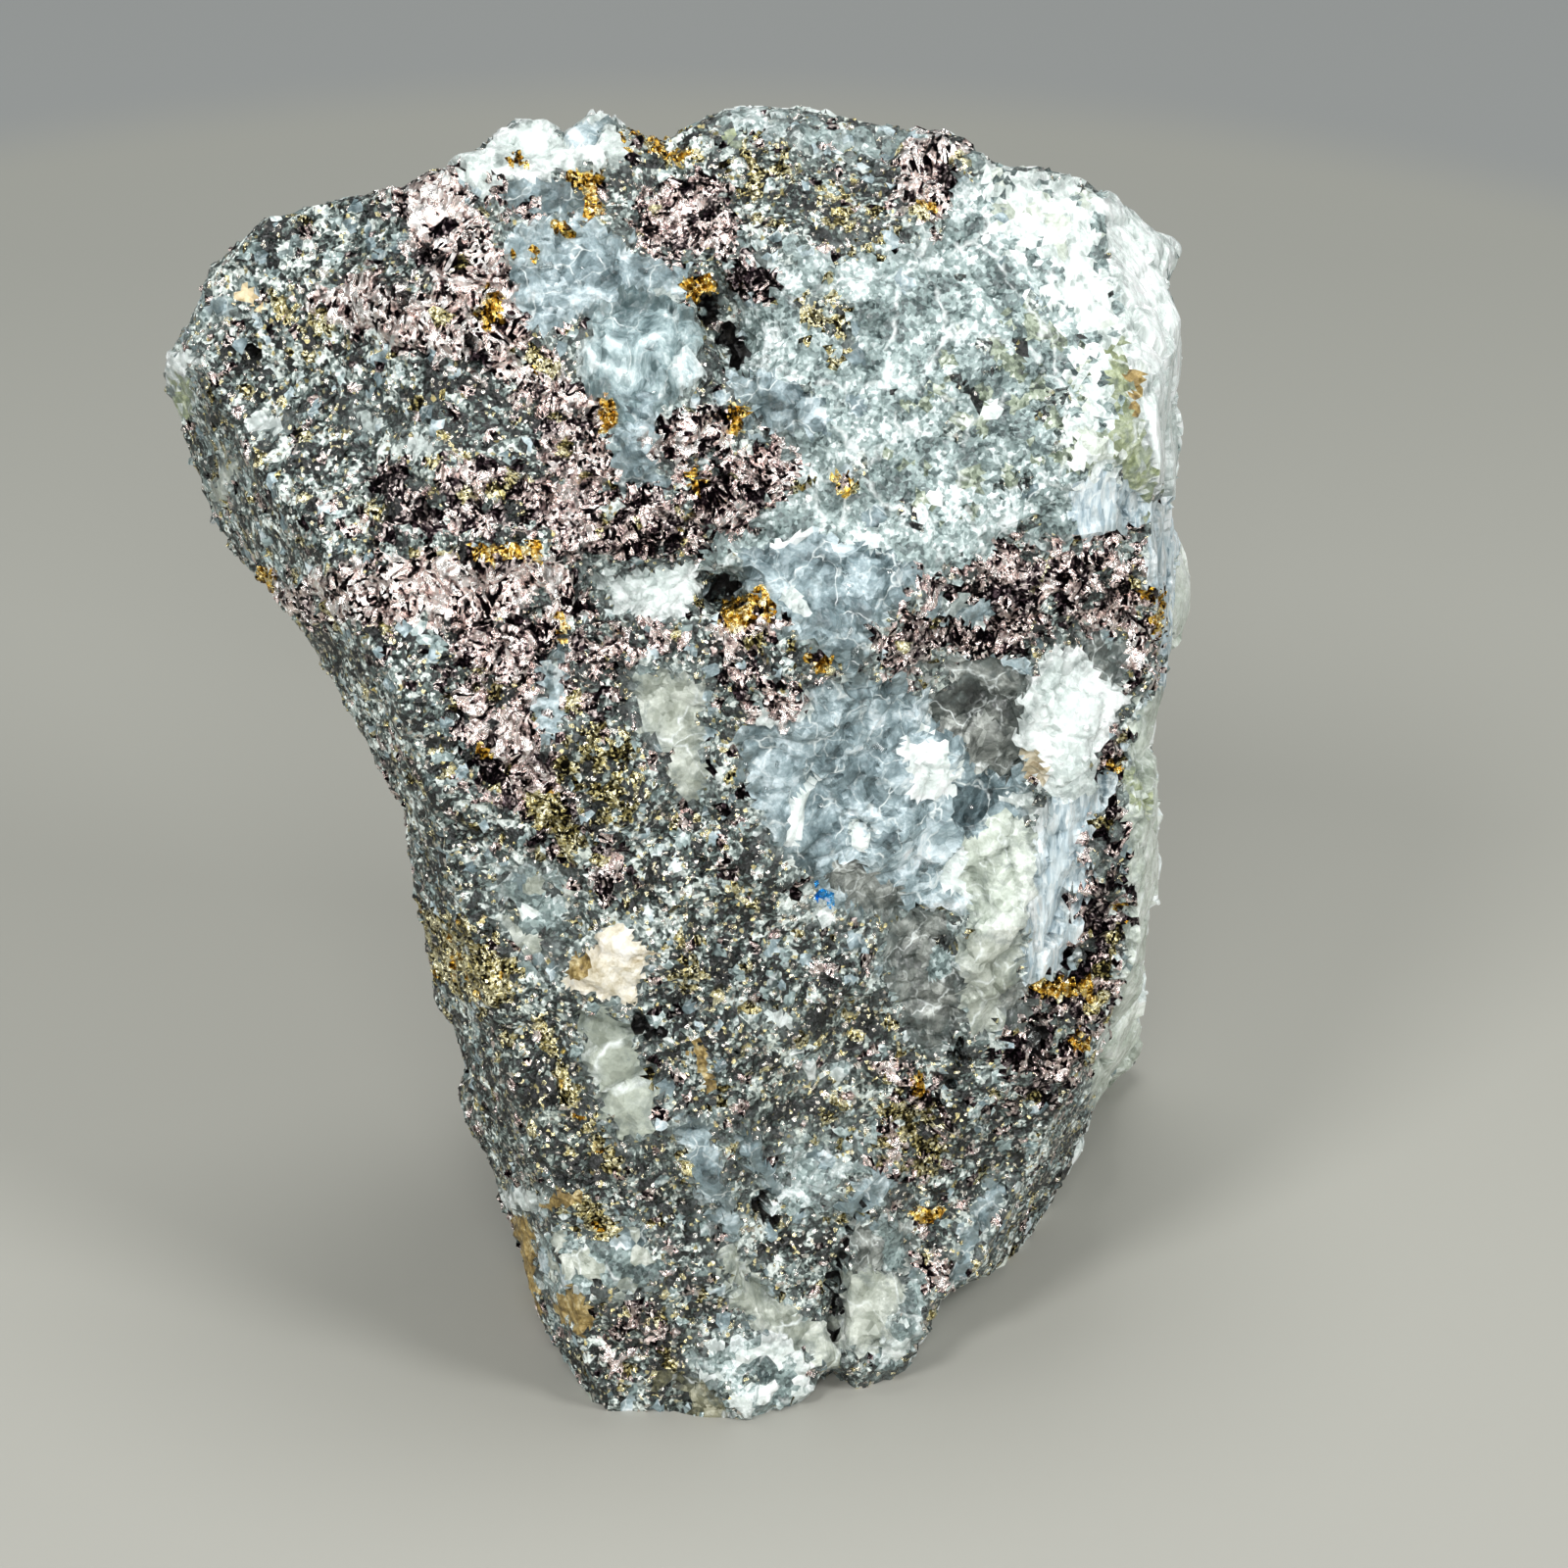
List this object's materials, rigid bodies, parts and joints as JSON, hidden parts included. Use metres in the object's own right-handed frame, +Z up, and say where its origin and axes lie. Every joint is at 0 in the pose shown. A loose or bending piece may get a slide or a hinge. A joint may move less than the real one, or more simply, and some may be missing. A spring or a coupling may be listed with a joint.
{
  "type": "coloradoite with hessite and gold",
  "caption": "Broken hand specimen of telluride ore: grey granular vein quartz with silvery telluride bands, native gold and milky quartz, standing on its narrow foot.",
  "frame": {"origin": "under the middle of the stone's bounding box, on the flat foot that it stands on", "axes": "+Z up from the foot to the crown; the rich broken face looks to -Y; +X is to its right as it is looked at"},
  "size_m": [0.028, 0.0202, 0.0329],
  "materials": {
    "telluride_ore": "hackly broken surface, glassy quartz with metallic grains"
  },
  "bodies": {
    "root": {"telluride_ore_specimen": "telluride_ore"}
  },
  "joints": []
}
